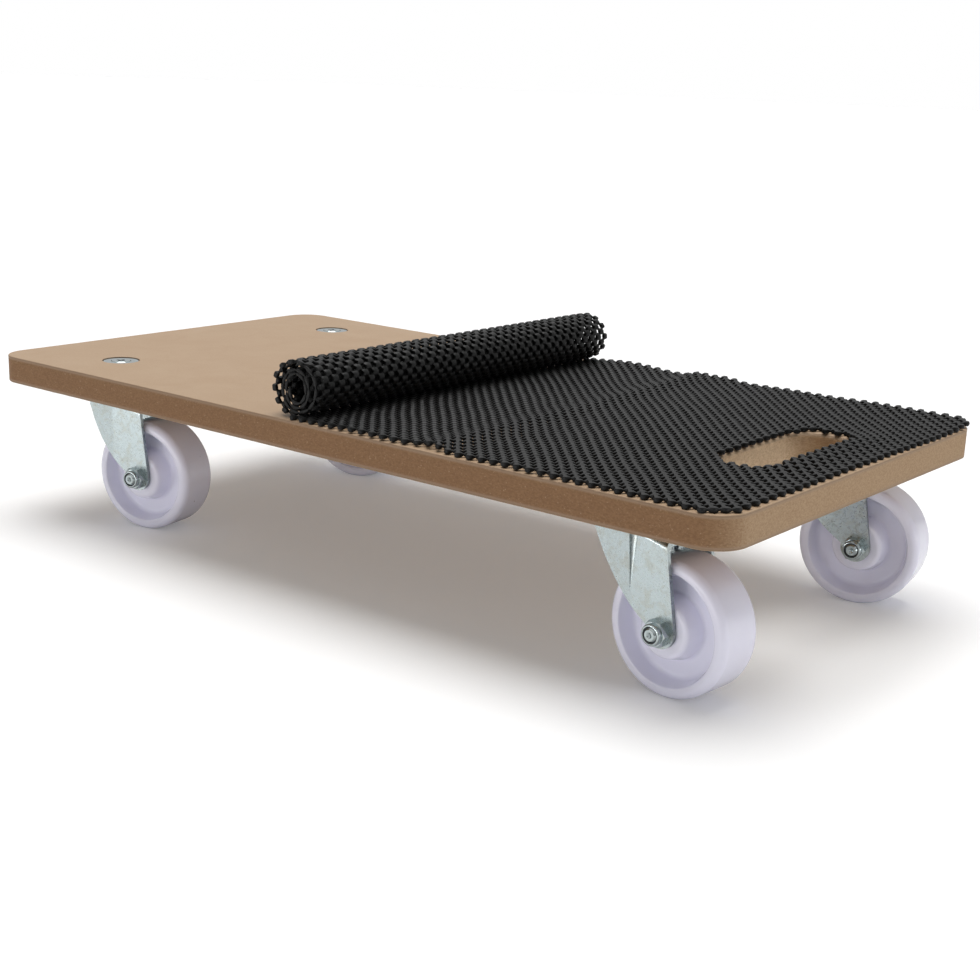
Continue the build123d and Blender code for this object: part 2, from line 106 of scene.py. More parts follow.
def mdf():
    """Pressed wood fibre: fine grain and pale flecks on sawn sides, a dense greyer skin next to each face,
    and faces that sanding has left pale and even."""
    material, tree, shader, coords = new_material("mdf_sanded_and_sawn")
    place = coords.outputs["Object"]
    turn = add(tree, "ShaderNodeSeparateXYZ", {}, {"Vector": coords.outputs["Normal"]})
    up = add(tree, "ShaderNodeMath", {"operation": "ABSOLUTE"}, {0: turn.outputs["Z"]})
    on_face = add(tree, "ShaderNodeMapRange", {"interpolation_type": "SMOOTHSTEP"}, {
        "Value": up.outputs[0], "From Min": 0.72, "From Max": 0.95})
    along = add(tree, "ShaderNodeMath", {"operation": "ABSOLUTE"}, {0: turn.outputs["Y"]})
    dust = add(tree, "ShaderNodeTexNoise", {}, {
        "Vector": place, "Scale": 1 / (1.1 * MM), "Detail": 3.0, "Roughness": 0.7})
    cloud = add(tree, "ShaderNodeTexNoise", {}, {
        "Vector": place, "Scale": 1 / (30 * MM), "Detail": 4.0, "Roughness": 0.6, "Distortion": 0.6})
    flat_fibre = add(tree, "ShaderNodeMapping", {}, {
        "Vector": place, "Scale": (1 / (1.6 * MM), 1 / (1.6 * MM), 1 / (0.9 * MM))})
    grain = add(tree, "ShaderNodeTexNoise", {}, {
        "Vector": flat_fibre.outputs[0], "Scale": 1.0, "Detail": 4.0, "Roughness": 0.7})

    face_tone = add(tree, "ShaderNodeMix", {"data_type": "RGBA"}, {
        "Factor": dust.outputs["Fac"], 6: linear("#a2876a"), 7: linear("#b89d80")})
    cloudy = add(tree, "ShaderNodeMapRange", {}, {
        "Value": cloud.outputs["Fac"], "From Min": 0.3, "From Max": 0.7, "To Min": 0.0, "To Max": 0.4})
    face = add(tree, "ShaderNodeMix", {"data_type": "RGBA", "blend_type": "MULTIPLY"}, {
        "Factor": cloudy.outputs[0], 6: face_tone.outputs[2], 7: linear("#ece2d4")})
    # Painted shade: sawn sides facing Y, the long sides, are painted darker than the ends facing X
    side = add(tree, "ShaderNodeMix", {"data_type": "RGBA"}, {
        "Factor": along.outputs[0], 6: linear("#ab9070"), 7: linear("#866443")})
    spot = add(tree, "ShaderNodeVectorMath", {"operation": "ABSOLUTE"}, {0: place})
    beside = add(tree, "ShaderNodeSeparateXYZ", {}, {"Vector": spot.outputs[0]})
    short = add(tree, "ShaderNodeMath", {"operation": "LESS_THAN"}, {0: beside.outputs["X"], 1: INNER_X})
    narrow = add(tree, "ShaderNodeMath", {"operation": "LESS_THAN"}, {0: beside.outputs["Y"], 1: INNER_Y})
    in_slot = add(tree, "ShaderNodeMath", {"operation": "MULTIPLY"}, {
        0: short.outputs[0], 1: narrow.outputs[0]})
    # Painted light and shade in the slot: its long walls, facing X, are painted pale as light, and its end
    # walls, facing Y, darker as shade
    slot_painted_light_and_shade = add(tree, "ShaderNodeMix", {"data_type": "RGBA"}, {
        "Factor": along.outputs[0], 6: linear("#e4caa8"), 7: linear("#b08e69")})
    cut = add(tree, "ShaderNodeMix", {"data_type": "RGBA"}, {
        "Factor": in_slot.outputs[0], 6: side.outputs[2], 7: slot_painted_light_and_shade.outputs[2]})
    deep = add(tree, "ShaderNodeMapRange", {}, {
        "Value": grain.outputs["Fac"], "From Min": 0.3, "From Max": 0.62, "To Min": 0.75, "To Max": 0.0})
    grained = add(tree, "ShaderNodeMix", {"data_type": "RGBA", "blend_type": "MULTIPLY"}, {
        "Factor": deep.outputs[0], 6: cut.outputs[2], 7: linear("#c9b6a4")})
    bright = add(tree, "ShaderNodeMapRange", {"interpolation_type": "SMOOTHSTEP"}, {
        "Value": dust.outputs["Fac"], "From Min": 0.6, "From Max": 0.74, "To Max": 0.4})
    flecked = add(tree, "ShaderNodeMix", {"data_type": "RGBA"}, {
        "Factor": bright.outputs[0], 6: grained.outputs[2], 7: linear("#cbb596")})
    height = add(tree, "ShaderNodeSeparateXYZ", {}, {"Vector": place})
    from_middle = add(tree, "ShaderNodeMath", {"operation": "SUBTRACT"}, {
        0: height.outputs["Z"], 1: (DECK_LOW + DECK_TOP) / 2})
    depth = add(tree, "ShaderNodeMath", {"operation": "ABSOLUTE"}, {0: from_middle.outputs[0]})
    skin = add(tree, "ShaderNodeMapRange", {"interpolation_type": "SMOOTHSTEP"}, {
        "Value": depth.outputs[0], "From Min": SKIN_START, "From Max": SKIN_FULL, "To Max": 0.7})
    edge = add(tree, "ShaderNodeMix", {"data_type": "RGBA"}, {
        "Factor": skin.outputs[0], 6: flecked.outputs[2], 7: linear("#96806a")})
    arris = add(tree, "ShaderNodeMath", {"operation": "COMPARE"}, {
        0: depth.outputs[0], 1: EDGE_LINE, 2: EDGE_LINE_HALF})
    line = add(tree, "ShaderNodeMath", {"operation": "MULTIPLY"}, {0: arris.outputs[0], 1: 0.35})
    lined = add(tree, "ShaderNodeMix", {"data_type": "RGBA"}, {
        "Factor": line.outputs[0], 6: edge.outputs[2], 7: linear("#6b543e")})
    board = add(tree, "ShaderNodeMix", {"data_type": "RGBA"}, {
        "Factor": on_face.outputs[0], 6: lined.outputs[2], 7: face.outputs[2]})
    tree.links.new(board.outputs[2], shader.inputs["Base Color"])
    rough = add(tree, "ShaderNodeMapRange", {}, {"Value": on_face.outputs[0], "To Min": 0.8, "To Max": 0.55})
    tree.links.new(rough.outputs[0], shader.inputs["Roughness"])
    relief = add(tree, "ShaderNodeMix", {"data_type": "FLOAT"}, {
        "Factor": on_face.outputs[0], 2: grain.outputs["Fac"], 3: dust.outputs["Fac"]})
    bump = add(tree, "ShaderNodeBump", {}, {
        "Strength": 0.3, "Distance": 0.15 * MM, "Height": relief.outputs[0]})
    tree.links.new(bump.outputs[0], shader.inputs["Normal"])
    return material


dress(mdf(), "deck_board")


# Steel parts of the casters: forks and races pressed from sheet, and bought bolts, washers and nuts.
# All are bright zinc plated, which leaves a cool grey with warm and bluish clouds and small stains.


def zinc_plate(name, clouds, turned_shade, roughness):
    """Zinc plate over steel; clouds is how strongly the colour wanders, and the next number is how much
    greyer the colour is painted as shade where a face turns away from Y and Z:
    in the dart's groove, along bends and cut edges, and on nut facets."""
    material, tree, shader, coords = new_material(name)
    place = coords.outputs["Object"]
    blotch = add(tree, "ShaderNodeTexNoise", {}, {
        "Vector": place, "Scale": 1 / (6 * MM), "Detail": 5.0, "Roughness": 0.65, "Distortion": 0.5})
    warm = add(tree, "ShaderNodeMapRange", {"interpolation_type": "SMOOTHSTEP"}, {
        "Value": blotch.outputs["Fac"], "From Min": 0.44, "From Max": 0.66, "To Max": clouds})
    tone = add(tree, "ShaderNodeMix", {"data_type": "RGBA"}, {
        "Factor": warm.outputs[0], 6: linear("#bcc7c9"), 7: linear("#b0b3ab")})
    turn = add(tree, "ShaderNodeVectorMath", {"operation": "ABSOLUTE"}, {0: coords.outputs["Normal"]})
    way = add(tree, "ShaderNodeSeparateXYZ", {}, {"Vector": turn.outputs[0]})
    flat = add(tree, "ShaderNodeMath", {"operation": "MAXIMUM"}, {0: way.outputs["Y"], 1: way.outputs["Z"]})
    # Painted shade: faces turned away from Y and Z, such as the dart's groove, bends, cut edges and nut
    # facets, are painted greyer
    turned_shade_mask = add(tree, "ShaderNodeMapRange", {"interpolation_type": "SMOOTHSTEP"}, {
        "Value": flat.outputs[0], "From Min": 0.75, "From Max": 0.96, "To Min": turned_shade, "To Max": 0.0})
    turned_shaded = add(tree, "ShaderNodeMix", {"data_type": "RGBA"}, {
        "Factor": turned_shade_mask.outputs[0], 6: tone.outputs[2], 7: linear("#7e8585")})
    grain = add(tree, "ShaderNodeTexNoise", {}, {
        "Vector": place, "Scale": 1 / (1.6 * MM), "Detail": 4.0, "Roughness": 0.7})
    stain = add(tree, "ShaderNodeMapRange", {"interpolation_type": "SMOOTHSTEP"}, {
        "Value": grain.outputs["Fac"], "From Min": 0.6, "From Max": 0.72, "To Max": 0.6 * clouds})
    stained = add(tree, "ShaderNodeMix", {"data_type": "RGBA"}, {
        "Factor": stain.outputs[0], 6: turned_shaded.outputs[2], 7: linear("#8f8d86")})
    tree.links.new(stained.outputs[2], shader.inputs["Base Color"])
    shader.inputs["Metallic"].default_value = 1.0
    rough = add(tree, "ShaderNodeMapRange", {}, {
        "Value": grain.outputs["Fac"], "From Min": 0.3, "From Max": 0.7,
        "To Min": roughness - 0.07, "To Max": roughness + 0.09})
    tree.links.new(rough.outputs[0], shader.inputs["Roughness"])
    bump = add(tree, "ShaderNodeBump", {}, {
        "Strength": 0.12, "Distance": 0.1 * MM, "Height": grain.outputs["Fac"]})
    tree.links.new(bump.outputs[0], shader.inputs["Normal"])
    return material


sheet_zinc = zinc_plate("zinc_plated_sheet", clouds=0.6, turned_shade=0.75, roughness=0.28)
bolt_zinc = zinc_plate("zinc_plated_bolts", clouds=0.3, turned_shade=0.45, roughness=0.11)
dress(sheet_zinc, *[f"{kind}_{c}" for kind in ("fork", "top_race", "lower_race") for c in corners])
dress(bolt_zinc, "king_bolts", "king_washers", "king_nuts")
dress(bolt_zinc, *[f"{kind}_{c}" for kind in ("axle_bolt", "axle_nut", "axle_sleeve") for c in corners])


# Bearing balls: hardened steel, ground and polished, loose in the two tracks round each king bolt.
# Only the upper ring shows, as a row of bright points between the top race and the fork.


def bearing_steel():
    """Polished hard steel: a near-white mirror, made a little duller by its film of grease."""
    material, tree, shader, coords = new_material("polished_bearing_steel")
    film = add(tree, "ShaderNodeTexNoise", {}, {
        "Vector": coords.outputs["Object"], "Scale": 1 / (2.5 * MM), "Detail": 2.0})
    tone = add(tree, "ShaderNodeMix", {"data_type": "RGBA"}, {
        "Factor": film.outputs["Fac"], 6: linear("#b9b8b4"), 7: linear("#d2d3d4")})
    tree.links.new(tone.outputs[2], shader.inputs["Base Color"])
    shader.inputs["Metallic"].default_value = 1.0
    shader.inputs["Roughness"].default_value = 0.12
    return material


dress(bearing_steel(), *[f"{kind}_{c}" for kind in ("upper_balls", "lower_balls") for c in corners])


# Nut inserts: the dark nylon ring that locks each axle nut, pressed into its collar.
# It shows as a thin dark circle round the axle bolt's end.


def lock_nylon():
    """Dark moulded nylon: satin and nearly even, scuffed where the bolt was driven through."""
    material, tree, shader, coords = new_material("lock_ring_nylon")
    scuff = add(tree, "ShaderNodeTexNoise", {}, {
        "Vector": coords.outputs["Object"], "Scale": 1 / (0.8 * MM), "Detail": 2.0})
    tone = add(tree, "ShaderNodeMix", {"data_type": "RGBA"}, {
        "Factor": scuff.outputs["Fac"], 6: linear("#15181c"), 7: linear("#2a2e33")})
    tree.links.new(tone.outputs[2], shader.inputs["Base Color"])
    shader.inputs["Roughness"].default_value = 0.4
    return material


dress(lock_nylon(), *[f"nut_insert_{c}" for c in corners])


# Wheels: one moulding each of white polypropylene, rim, web and hub together.
# The plastic is a little translucent and faintly violet, with a soft gloss and a few grains of dirt.


def white_polypropylene():
    """White moulded polypropylene: milky and softly glossy, since light goes a little way into it."""
    material, tree, shader, coords = new_material("white_moulded_polypropylene")
    place = coords.outputs["Object"]
    milk = add(tree, "ShaderNodeTexNoise", {}, {"Vector": place, "Scale": 1 / (22 * MM), "Detail": 3.0})
    tone = add(tree, "ShaderNodeMix", {"data_type": "RGBA"}, {
        "Factor": milk.outputs["Fac"], 6: linear("#e9e8f9"), 7: linear("#efeefd")})
    grit = add(tree, "ShaderNodeTexVoronoi", {"feature": "F1"}, {
        "Vector": place, "Scale": 1 / (9 * MM), "Randomness": 1.0})
    size = add(tree, "ShaderNodeSeparateColor", {}, {"Color": grit.outputs["Color"]})
    reach = add(tree, "ShaderNodeMapRange", {}, {
        "Value": size.outputs["Red"], "From Min": 0.55, "From Max": 1.0, "To Min": 0.0, "To Max": 0.05})
    spot = add(tree, "ShaderNodeMath", {"operation": "LESS_THAN"}, {
        0: grit.outputs["Distance"], 1: reach.outputs[0]})
    dirty = add(tree, "ShaderNodeMix", {"data_type": "RGBA"}, {
        "Factor": spot.outputs[0], 6: tone.outputs[2], 7: linear("#5d4f4a")})
    tree.links.new(dirty.outputs[2], shader.inputs["Base Color"])
    shader.inputs["Roughness"].default_value = 0.15
    shader.inputs["IOR"].default_value = 1.49
    shader.inputs["Subsurface Weight"].default_value = 0.18
    shader.inputs["Subsurface Radius"].default_value = (1.0, 0.95, 1.0)
    shader.inputs["Subsurface Scale"].default_value = 3 * MM
    return material


dress(white_polypropylene(), *[f"wheel_{c}" for c in corners])


# Grip mat: a knitted scrim dipped in black PVC foam, which leaves fat knots joined by thin strands.
# It is loose: it lies over the slot end with a crease across it, and the rest is wound into a roll.
# Geometry Nodes make the net flat from one knot; it is then laid on the deck or wound up, point by point.

ROW_PITCH = 3.9 * MM
COLUMN_PITCH = 4.2 * MM
NET_THICKNESS = 3.0 * MM
KNOT_HALF = Vector((1.9 * MM, 2.05 * MM))
STRAND_WIDTH = 1.5 * MM
STRAND_THICKNESS = 1.0 * MM
MAT_ROWS, MAT_COLUMNS = 37, 35
MAT_LENGTH = 2 * MAT_ROWS * ROW_PITCH
MAT_WIDTH = 2 * MAT_COLUMNS * COLUMN_PITCH
ROLL_X = -1.5 * MM


def pvc_foam():
    """Foamed PVC skin: near black, satin, slightly pitted."""
    material, tree, shader, coords = new_material("black_pvc_foam")
    place = coords.outputs["Object"]
    skin = add(tree, "ShaderNodeTexNoise", {}, {
        "Vector": place, "Scale": 1 / (0.7 * MM), "Detail": 3.0, "Roughness": 0.6})
    wear = add(tree, "ShaderNodeTexNoise", {}, {"Vector": place, "Scale": 1 / (45 * MM), "Detail": 2.0})
    mixed = add(tree, "ShaderNodeMath", {"operation": "MULTIPLY"}, {
        0: skin.outputs["Fac"], 1: wear.outputs["Fac"]})
    shade = add(tree, "ShaderNodeMapRange", {}, {
        "Value": mixed.outputs[0], "From Min": 0.12, "From Max": 0.4})
    tone = add(tree, "ShaderNodeMix", {"data_type": "RGBA"}, {
        "Factor": shade.outputs[0], 6: linear("#0c0c0c"), 7: linear("#151515")})
    tree.links.new(tone.outputs[2], shader.inputs["Base Color"])
    shader.inputs["Roughness"].default_value = 0.45
    shader.inputs["Specular IOR Level"].default_value = 0.2
    bump = add(tree, "ShaderNodeBump", {}, {
        "Strength": 0.3, "Distance": 0.15 * MM, "Height": skin.outputs["Fac"]})
    tree.links.new(bump.outputs[0], shader.inputs["Normal"])
    return material


def net_knot():
    """One knot of the net with half of each of its four strands: a mesh to repeat, the knot in its middle.
    Round the knot lie, four times over, a strand's end and the rim of the hole beside it."""
    strand_flat = 0.8
    shoulder_out, shoulder_height = 0.9, 0.42 * NET_THICKNESS
    dome_out, dome_height = 0.6, 0.45 * NET_THICKNESS
    spots = [(0, 0, NET_THICKNESS / 2), (0, 0, -NET_THICKNESS / 2)]
    for flip, rim in (((1, 1), (0, 1)), ((-1, 1), (-1, 0)), ((-1, -1), (0, -1)), ((1, -1), (1, 0))):
        end = Vector(flip) * Vector((ROW_PITCH / 2, COLUMN_PITCH / 2))
        side = end.normalized().orthogonal() * STRAND_WIDTH / 2
        hole = Vector(rim) * KNOT_HALF
        spots += [(*(end - side), 0), (*(end + side), 0), (*hole, 0)]
        for level in (1, -1):
            top = level * STRAND_THICKNESS / 2
            spots += [
                (*(end - strand_flat * side), top), (*(end + strand_flat * side), top),
                (*(shoulder_out * hole), level * shoulder_height), (*(dome_out * end), level * dome_height)]
    faces = []
    arm_points, level_points = 11, 4
    for k in range(4):
        own, after = 2 + arm_points * k, 2 + arm_points * ((k + 1) % 4)
        for level in (0, 1):
            first = own + 3 + level_points * level
            right, left, shoulder, dome = range(first, first + level_points)
            next_right = after + 3 + level_points * level
            next_dome = next_right + level_points - 1
            skin = [
                (level, dome, shoulder), (level, shoulder, next_dome), (dome, right, left),
                (dome, left, shoulder), (shoulder, next_right, next_dome),
                (left, own + 1, own + 2, shoulder), (shoulder, own + 2, after, next_right)]
            faces += [face[::-1] for face in skin] if level else skin
    mesh = bpy.data.meshes.new("net_knot")
    mesh.from_pydata(spots, [], faces)
    knot = bpy.data.objects.new("net_knot", mesh)
    bpy.context.scene.collection.objects.link(knot)
    return knot


def net_tree(material):
    """The net, flat: knots on two interleaved grids, joined where their strands meet."""
    tree = bpy.data.node_groups.new("grip_mat_net", "GeometryNodeTree")
    tree.interface.new_socket("Geometry", in_out="OUTPUT", socket_type="NodeSocketGeometry")
    sockets = {
        "NodeSocketObject": ("Knot",),
        "NodeSocketInt": ("Rows", "Columns"),
        "NodeSocketFloat": ("Row Spacing", "Column Spacing", "Outline Corner", "Slot Corner", "Cut Back",
                            "Ring From", "Wander", "Lumpiness"),
        "NodeSocketVector": ("Ring Bead", "Outline Middle", "Outline Half", "Slot Middle", "Slot Half"),
    }
    for kind, names in sockets.items():
        for name in names:
            tree.interface.new_socket(name, in_out="INPUT", socket_type=kind)
    given = add(tree, "NodeGroupInput").outputs

    # Two equal grids, each moved a quarter of a step, so that one's knots lie amid the other's
    spans = []
    for count, spacing in (("Rows", "Row Spacing"), ("Columns", "Column Spacing")):
        gaps = add(tree, "ShaderNodeMath", {"operation": "SUBTRACT"}, {0: given[count], 1: 1.0})
        span = add(tree, "ShaderNodeMath", {"operation": "MULTIPLY"}, {
            0: gaps.outputs[0], 1: given[spacing]})
        spans.append(span.outputs[0])
    grid = add(tree, "GeometryNodeMeshGrid", {}, {
        "Size X": spans[0], "Size Y": spans[1], "Vertices X": given["Rows"], "Vertices Y": given["Columns"]})
    spacing = add(tree, "ShaderNodeCombineXYZ", {}, {
        "X": given["Row Spacing"], "Y": given["Column Spacing"]})
    chequer = add(tree, "GeometryNodeJoinGeometry")
    for share in (-0.25, 0.25):
        step = add(tree, "ShaderNodeVectorMath", {"operation": "SCALE"}, {
            0: spacing.outputs[0], "Scale": share})
        shifted = add(tree, "GeometryNodeTransform", {}, {
            "Geometry": grid.outputs["Mesh"], "Translation": step.outputs[0]})
        tree.links.new(shifted.outputs[0], chequer.inputs[0])

    # Knots go where they lie within the mat's rounded outline and clear of its rounded slot
    here = add(tree, "GeometryNodeInputPosition").outputs[0]
    outside = {}
    for shape in ("Outline", "Slot"):
        off = add(tree, "ShaderNodeVectorMath", {"operation": "SUBTRACT"}, {
            0: here, 1: given[shape + " Middle"]})
        size = add(tree, "ShaderNodeVectorMath", {"operation": "ABSOLUTE"}, {0: off.outputs[0]})
        straight = add(tree, "ShaderNodeVectorMath", {"operation": "SUBTRACT"}, {
            0: given[shape + " Half"], 1: given[shape + " Corner"]})
        past = add(tree, "ShaderNodeVectorMath", {"operation": "SUBTRACT"}, {
            0: size.outputs[0], 1: straight.outputs[0]})
        corner = add(tree, "ShaderNodeVectorMath", {"operation": "MAXIMUM"}, {
            0: past.outputs[0], 1: (0, 0, 0)})
        reach = add(tree, "ShaderNodeVectorMath", {"operation": "LENGTH"}, {0: corner.outputs[0]})
        outside[shape] = add(tree, "ShaderNodeMath", {"operation": "GREATER_THAN"}, {
            0: reach.outputs["Value"], 1: given[shape + " Corner"]})
    in_slot = add(tree, "ShaderNodeMath", {"operation": "SUBTRACT"}, {0: 1.0, 1: outside["Slot"].outputs[0]})
    cut = add(tree, "ShaderNodeMath", {"operation": "MAXIMUM"}, {
        0: in_slot.outputs[0], 1: outside["Outline"].outputs[0]})
    spots = add(tree, "GeometryNodeDeleteGeometry", {"domain": "POINT"}, {
        "Geometry": chequer.outputs[0], "Selection": cut.outputs[0]})

    # The last row along the near edge is set apart where the mat shows its cut end: beads go there
    at = add(tree, "ShaderNodeSeparateXYZ", {}, {"Vector": here})
    edge_line = add(tree, "ShaderNodeMath", {"operation": "MULTIPLY"}, {0: spans[1], 1: -0.5})
    at_edge = add(tree, "ShaderNodeMath", {"operation": "LESS_THAN"}, {
        0: at.outputs["Y"], 1: edge_line.outputs[0]})
    late = add(tree, "ShaderNodeMath", {"operation": "GREATER_THAN"}, {
        0: at.outputs["X"], 1: given["Ring From"]})
    ring = add(tree, "ShaderNodeMath", {"operation": "MULTIPLY"}, {
        0: at_edge.outputs[0], 1: late.outputs[0]})
    shared = add(tree, "GeometryNodeSeparateGeometry", {"domain": "POINT"}, {
        "Geometry": spots.outputs[0], "Selection": ring.outputs[0]})

    # Strands are welded where they meet; one that meets nothing is cut back towards its knot
    marked = add(tree, "GeometryNodeCaptureAttribute", {"domain": "POINT"}, {
        "Geometry": shared.outputs["Inverted"]})
    marked.capture_items.new("VECTOR", "Middle")
    tree.links.new(here, marked.inputs["Middle"])
    pattern = add(tree, "GeometryNodeObjectInfo", {}, {"Object": given["Knot"]})
    knots = add(tree, "GeometryNodeInstanceOnPoints", {}, {
        "Points": marked.outputs["Geometry"], "Instance": pattern.outputs["Geometry"]})
    real = add(tree, "GeometryNodeRealizeInstances", {}, {"Geometry": knots.outputs[0]})
    joined = add(tree, "GeometryNodeMergeByDistance", {}, {
        "Geometry": real.outputs[0], "Distance": 0.05 * MM})
    sides = add(tree, "GeometryNodeInputMeshEdgeNeighbors")
    loose = add(tree, "FunctionNodeCompare", {"data_type": "INT", "operation": "EQUAL"}, {
        2: sides.outputs["Face Count"], 3: 1})
    cut_end = add(tree, "GeometryNodeFieldOnDomain", {"domain": "EDGE", "data_type": "BOOLEAN"}, {
        "Value": loose.outputs[0]})
    drawn_in = add(tree, "ShaderNodeMix", {"data_type": "VECTOR"}, {
        "Factor": given["Cut Back"], 4: here, 5: marked.outputs["Middle"]})
    trimmed = add(tree, "GeometryNodeSetPosition", {}, {
        "Geometry": joined.outputs[0], "Selection": cut_end.outputs[0], "Position": drawn_in.outputs[1]})

    ball = add(tree, "GeometryNodeMeshUVSphere", {}, {"Segments": 8, "Rings": 5, "Radius": 0.5})
    bead = add(tree, "GeometryNodeTransform", {}, {
        "Geometry": ball.outputs["Mesh"], "Scale": given["Ring Bead"]})
    rings = add(tree, "GeometryNodeInstanceOnPoints", {}, {
        "Points": shared.outputs["Selection"], "Instance": bead.outputs[0]})
    real_rings = add(tree, "GeometryNodeRealizeInstances", {}, {"Geometry": rings.outputs[0]})

    # Each knot is a little different, and the rows wander, as dipped knitting does
    whole = add(tree, "GeometryNodeJoinGeometry")
    moved = {}
    for amount, source, grain, ways in (
            ("Lumpiness", trimmed, 4 * MM, (1, 1, 1)), ("Wander", whole, 60 * MM, (1, 1, 0))):
        drift = add(tree, "ShaderNodeTexNoise", {}, {"Vector": here, "Scale": 1 / grain, "Detail": 1.0})
        centred = add(tree, "ShaderNodeVectorMath", {"operation": "SUBTRACT"}, {
            0: drift.outputs["Color"], 1: (0.5, 0.5, 0.5)})
        kept = add(tree, "ShaderNodeVectorMath", {"operation": "MULTIPLY"}, {0: centred.outputs[0], 1: ways})
        shift = add(tree, "ShaderNodeVectorMath", {"operation": "SCALE"}, {
            0: kept.outputs[0], "Scale": given[amount]})
        moved[amount] = add(tree, "GeometryNodeSetPosition", {}, {
            "Geometry": source.outputs[0], "Offset": shift.outputs[0]})
    for part in (moved["Lumpiness"], real_rings):
        tree.links.new(part.outputs[0], whole.inputs[0])

    bend = add(tree, "GeometryNodeInputMeshEdgeAngle")
    soft = add(tree, "FunctionNodeCompare", {"operation": "LESS_THAN"}, {
        0: bend.outputs["Unsigned Angle"], 1: math.radians(50)})
    rounded = add(tree, "GeometryNodeSetShadeSmooth", {"domain": "EDGE"}, {
        "Geometry": moved["Wander"].outputs[0], "Shade Smooth": soft.outputs[0]})
    smooth = add(tree, "GeometryNodeSetShadeSmooth", {}, {
        "Geometry": rounded.outputs[0], "Shade Smooth": True})
    finished = add(tree, "GeometryNodeSetMaterial", {}, {
        "Geometry": smooth.outputs[0], "Material": material})
    add(tree, "NodeGroupOutput", {}, {"Geometry": finished.outputs[0]})
    return tree


def flat_net(name, tree, sizes):
    """A plain mesh object of the net, made by the tree with these inputs, its cut strands closed."""
    maker = bpy.data.objects.new(name + "_maker", bpy.data.meshes.new(name + "_maker"))
    bpy.context.scene.collection.objects.link(maker)
    modifier = maker.modifiers.new("net", "NODES")
    modifier.node_group = tree
    sockets = {item.name: item.identifier for item in tree.interface.items_tree if item.in_out == "INPUT"}
    for key, value in sizes.items():
        modifier[sockets[key]] = value
    depsgraph = bpy.context.evaluated_depsgraph_get()
    mesh = bpy.data.meshes.new_from_object(maker.evaluated_get(depsgraph))
    bpy.data.objects.remove(maker)
    strand_sides = 6
    shell = bmesh.new()
    shell.from_mesh(mesh)
    open_edges = [edge for edge in shell.edges if edge.is_boundary]
    bmesh.ops.holes_fill(shell, edges=open_edges, sides=strand_sides)
    bmesh.ops.recalc_face_normals(shell, faces=shell.faces)
    shell.to_mesh(mesh)
    shell.free()
    piece = bpy.data.objects.new(name, mesh)
    bpy.context.scene.collection.objects.link(piece)
    return piece


def points(piece):
    """A mesh's vertices as an array."""
    found = np.empty(len(piece.data.vertices) * 3)
    piece.data.vertices.foreach_get("co", found)
    return found.reshape(-1, 3)


def set_points(piece, moved):
    """Moves a mesh's vertices to the rows of an array."""
    piece.data.vertices.foreach_set("co", moved.ravel())
    piece.data.update()


# The net of both stretches: how far cut strands are drawn in, and the bead along the roll's near end
net = net_tree(pvc_foam())
knot = net_knot()
net_sizes = {
    "Knot": knot, "Columns": MAT_COLUMNS, "Row Spacing": 2 * ROW_PITCH, "Column Spacing": 2 * COLUMN_PITCH,
    "Cut Back": 0.28, "Lumpiness": 0.45 * MM, "Ring Bead": (8.6 * MM, 2.0 * MM, 2.2 * MM),
}

# The flat stretch: its slot is a little narrower than the board's, and no bead shows (none within 1 m)
SLOT_SHIFT = 0.3 * MM
SLOT_NARROWER = 1.2 * MM
NO_RING = 1.0
mat = flat_net("grip_mat_flat", net, {
    **net_sizes, "Rows": MAT_ROWS, "Outline Middle": (-MAT_LENGTH / 2, 0, 0),
    "Outline Half": (MAT_LENGTH - MM, MAT_WIDTH / 2 - MM, 1), "Outline Corner": 10 * MM,
    "Slot Middle": ((SLOT_LOW + SLOT_HIGH) / 2 + SLOT_SHIFT - ROLL_X - MAT_LENGTH / 2, 0, 0),
    "Slot Half": ((SLOT_HIGH - SLOT_LOW) / 2 - SLOT_NARROWER, SLOT_LENGTH / 2, 1),
    "Slot Corner": SLOT_CORNER, "Ring From": NO_RING, "Wander": 3.5 * MM})

# Where it stands off the deck: each fold's place along the deck, its half length and its height
CREASE_X, CREASE_HALF, CREASE_SKEW = 99.5 * MM, 15 * MM, 0.034
CREASE_HEIGHT, CREASE_AT_ENDS, CREASE_TO_FAR = 1.7 * MM, 0.9 * MM, 0.4 * MM
CREASE_BLUNT, CREASE_FLARE = 0.012, 1.3
FAR_EDGE_FROM, FAR_EDGE_WIDTH = 95 * MM, 52 * MM
SLACK_X, SLACK_HALF, SLACK_HEIGHT = 40 * MM, 24 * MM, 2.0 * MM
PUFF_X, PUFF_HALF, PUFF_HEIGHT = 114 * MM, 13 * MM, 2.6 * MM
CURL_X, CURL_LENGTH, CURL_HEIGHT = 130 * MM, 90 * MM, 2.2 * MM
LIP_X, LIP_HALF, LIP_HALF_WIDTH, LIP_HEIGHT = 262 * MM, 11 * MM, 62 * MM, 2.6 * MM
WAVE_HEIGHT, WAVE_LENGTH, WAVE_BEND, WAVE_BEND_LENGTH = 0.9 * MM, 21 * MM, 1.3, 70 * MM
WAVE_FROM, WAVE_FADE_IN, WAVE_TO, WAVE_FADE_OUT = 10 * MM, 30 * MM, 205 * MM, 40 * MM


def ramp(at, start, length):
    """0 up to the start, then rising evenly to 1 over the length."""
    return np.clip((at - start) / length, 0, 1)


def bell(at, middle, half):
    """1 in the middle, fading out on both sides."""
    return np.exp(-((at - middle) / half) ** 2)


